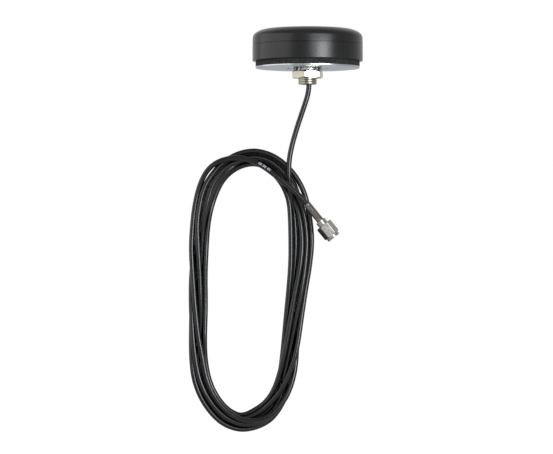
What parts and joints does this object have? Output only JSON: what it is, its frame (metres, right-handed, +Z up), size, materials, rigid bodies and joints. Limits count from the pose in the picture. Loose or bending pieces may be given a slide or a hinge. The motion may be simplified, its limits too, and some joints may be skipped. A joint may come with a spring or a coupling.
{
  "type": "gsm antenna",
  "caption": "Round low-profile panel antenna: moulded cover on a gasket and bright plate, hollow threaded stud with nut, and a coiled coaxial lead ending in a small screw-on plug.",
  "frame": {"origin": "centre of the base plate's underside, where the panel touches it and the stud leaves it", "axes": "+Z up through the cover, -Z along the stud towards its nut and the hanging lead, +X to the right and +Y away from the viewer with the lead's coil in the XZ plane"},
  "size_m": [0.0923, 0.0584, 0.2135],
  "materials": {
    "cover_plastic": "satin black moulded ABS, fine texture",
    "inner_plastic": "black moulded ABS",
    "foam_rubber": "black closed-cell foam rubber, mottled skin",
    "bright_plate": "bright plated steel sheet",
    "nickel": "nickel-plated turned brass",
    "zinc_steel": "zinc-plated steel",
    "board_laminate": "green glass-fibre laminate",
    "tinned_brass": "tinned brass sheet",
    "cable_jacket": "smooth black PVC cable jacket",
    "soft_rubber": "black rubber",
    "plug_nickel": "nickel-plated turned brass",
    "spring_bronze": "phosphor bronze",
    "silicone": "red-brown silicone rubber",
    "white_insulator": "white fluoropolymer",
    "gold_contact": "gold-plated brass"
  },
  "bodies": {
    "antenna": {"radome_cover": "cover_plastic", "inner_base": "inner_plastic", "sealing_gasket": "foam_rubber", "base_plate": "bright_plate", "hollow_stud": "nickel", "lock_washer": "zinc_steel", "mounting_nut": "nickel", "circuit_board": "board_laminate", "radiating_element": "tinned_brass", "board_screws": "zinc_steel", "cover_screws": "zinc_steel", "cable_inner_end": "cable_jacket", "cable_seal": "soft_rubber", "cable_stop_ring": "zinc_steel", "cable_outer_end": "cable_jacket", "cord_lead_in": "cable_jacket", "cord_coil": "cable_jacket", "cord_lead_out": "cable_jacket", "crimp_ferrule": "plug_nickel", "connector_body": "plug_nickel", "retaining_ring": "spring_bronze", "connector_gasket": "silicone", "insulator": "white_insulator", "centre_pin": "gold_contact"},
    "coupling": {"coupling_nut": "plug_nickel"}
  },
  "joints": [
    {"name": "coupling_spin", "type": "hinge", "parent": "antenna", "child": "coupling", "pos_m": [0.00951, -0.007, -0.08436], "axis": [0.6293, 0, -0.7771], "continuous": true}
  ]
}
